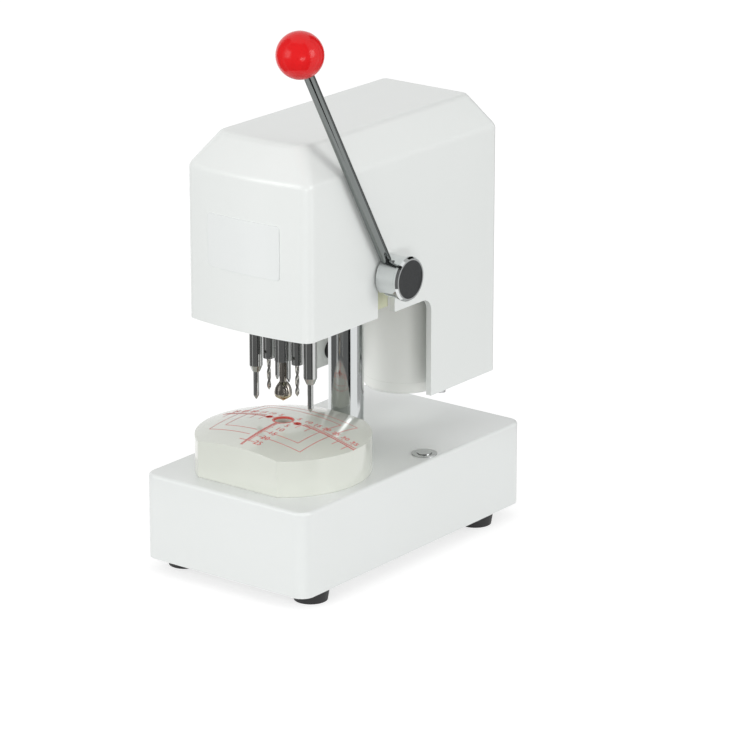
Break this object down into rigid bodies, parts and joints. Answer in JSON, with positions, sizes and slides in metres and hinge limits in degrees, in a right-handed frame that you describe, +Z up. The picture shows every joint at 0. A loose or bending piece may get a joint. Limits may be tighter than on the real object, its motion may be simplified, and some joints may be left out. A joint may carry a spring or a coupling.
{
  "type": "paper drill",
  "caption": "Desk paper drill: a box base with a round-fronted work pad, a covered drilling head that slides down a chromed column, and a side lever that lowers it.",
  "frame": {"origin": "On the table under the middle of the base: z = 0 is the underside of the rubber feet, and x = 0, y = 0 is the centre of the base box. The lever hub stands out past the base on the right, so the bounding box's centre is under 2 mm to the right of it.", "axes": "+X is the machine's right-hand side, with the lever; +Y points to the machine's rear; +Z is up, along the column."},
  "size_m": [0.1535, 0.2687, 0.4217],
  "materials": {
    "white_enamel": "smooth satin-gloss white enamel",
    "cream_plastic": "cream moulded plastic with a printed red scale",
    "cream_frame": "ivory painted casting",
    "warm_grey_paint": "light warm grey paint",
    "polished_chrome": "bright polished chrome plate",
    "tool_steel": "ground steel",
    "zinc_steel": "zinc plated steel",
    "gold_coating": "golden hard coating",
    "bearing_bronze": "sintered bronze",
    "red_plastic": "glossy red phenolic ball",
    "black_plastic": "fine textured black",
    "black_rubber": "black rubber",
    "cutting_nylon": "plain nylon",
    "label_white": "blank satin label"
  },
  "bodies": {
    "base": {"base_housing": "white_enamel", "bottom_plate": "white_enamel", "rubber_feet": "black_rubber", "base_screws": "zinc_steel", "column_flange": "tool_steel", "flange_bolts": "zinc_steel", "column": "polished_chrome", "rack_bar": "tool_steel", "rack_screws": "zinc_steel", "stop_collar": "tool_steel", "return_spring": "tool_steel", "work_pad": "cream_plastic", "pad_insert": "cutting_nylon", "insert_support": "cream_plastic", "switch_bezel": "polished_chrome", "switch_nut": "zinc_steel"},
    "button": {"button_cap": "polished_chrome"},
    "head": {"head_cover": "white_enamel", "label_plate": "label_white", "cord_grommet": "black_rubber", "cover_screws": "zinc_steel", "cover_hangers": "cream_frame", "frame_plate": "cream_frame", "frame_screws": "zinc_steel", "carriage": "cream_frame", "column_bushes": "bearing_bronze", "shaft_bushes": "bearing_bronze", "shaft_bracket": "cream_frame", "gearbox_housing": "cream_frame", "upper_block": "cream_frame", "spindle_bushes": "bearing_bronze", "upper_bearings": "tool_steel", "guard_sleeve": "tool_steel", "pin_barrels": "tool_steel", "left_pin_spring": "tool_steel", "right_pin_spring": "tool_steel", "drive_belt": "black_rubber", "motor_can": "warm_grey_paint", "motor_bottom_cap": "warm_grey_paint", "motor_top_cap": "warm_grey_paint"},
    "lever": {"pinion_gear": "tool_steel", "pinion_shaft": "tool_steel", "shaft_circlip": "tool_steel", "lever_hub": "polished_chrome", "hub_cap": "black_plastic", "hub_set_screw": "black_plastic", "lever_rod": "polished_chrome", "lever_knob": "red_plastic"},
    "centre_spindle": {"spindle_shaft": "tool_steel", "spindle_pulley": "zinc_steel", "centre_gear": "tool_steel", "centre_cutter": "gold_coating"},
    "left_drill": {"left_spindle": "tool_steel", "left_drill_bit": "tool_steel"},
    "right_drill": {"right_spindle": "tool_steel", "right_drill_bit": "tool_steel"},
    "rotor": {"motor_shaft": "tool_steel", "motor_pulley": "zinc_steel"},
    "left_pin": {"left_hold_pin": "tool_steel"},
    "right_pin": {"right_hold_pin": "tool_steel"}
  },
  "joints": [
    {"name": "head_feed", "type": "slide", "parent": "base", "child": "head", "axis": [0, 0, -1], "range_m": [0, 0.0218], "stiffness_N_per_m": 3000, "springref_m": -0.055, "deforming": ["return_spring"]},
    {"name": "lever_turn", "type": "hinge", "parent": "head", "child": "lever", "pos_m": [0, -0.0125, 0.2215], "axis": [1, 0, 0], "range_deg": [0, 91]},
    {"name": "left_pin_slide", "type": "slide", "parent": "head", "child": "left_pin", "axis": [0, 0, 1], "range_m": [0, 0.01], "deforming": ["left_pin_spring"]},
    {"name": "right_pin_slide", "type": "slide", "parent": "head", "child": "right_pin", "axis": [0, 0, 1], "range_m": [0, 0.01], "deforming": ["right_pin_spring"]},
    {"name": "centre_spin", "type": "hinge", "parent": "head", "child": "centre_spindle", "pos_m": [0, -0.0629, 0.2], "axis": [0, 0, 1], "continuous": true},
    {"name": "left_drill_spin", "type": "hinge", "parent": "head", "child": "left_drill", "pos_m": [-0.0132, -0.0629, 0.2], "axis": [0, 0, 1], "continuous": true},
    {"name": "right_drill_spin", "type": "hinge", "parent": "head", "child": "right_drill", "pos_m": [0.0132, -0.0629, 0.2], "axis": [0, 0, 1], "continuous": true},
    {"name": "motor_spin", "type": "hinge", "parent": "head", "child": "rotor", "pos_m": [0, 0.082, 0.2], "axis": [0, 0, 1], "continuous": true},
    {"name": "power_button", "type": "slide", "parent": "base", "child": "button", "axis": [0, 0, -1], "range_m": [0, 0.0015], "stiffness_N_per_m": 400, "springref_m": -0.003}
  ],
  "couplings": [
    {"joint": "lever_turn", "follows": "head_feed", "rad_per_m": 72.727},
    {"joint": "left_pin_slide", "follows": "head_feed", "ratio": 0.45},
    {"joint": "right_pin_slide", "follows": "head_feed", "ratio": 0.45},
    {"joint": "left_drill_spin", "follows": "centre_spin", "ratio": -1},
    {"joint": "right_drill_spin", "follows": "centre_spin", "ratio": -1},
    {"joint": "motor_spin", "follows": "centre_spin", "ratio": 1.3}
  ]
}
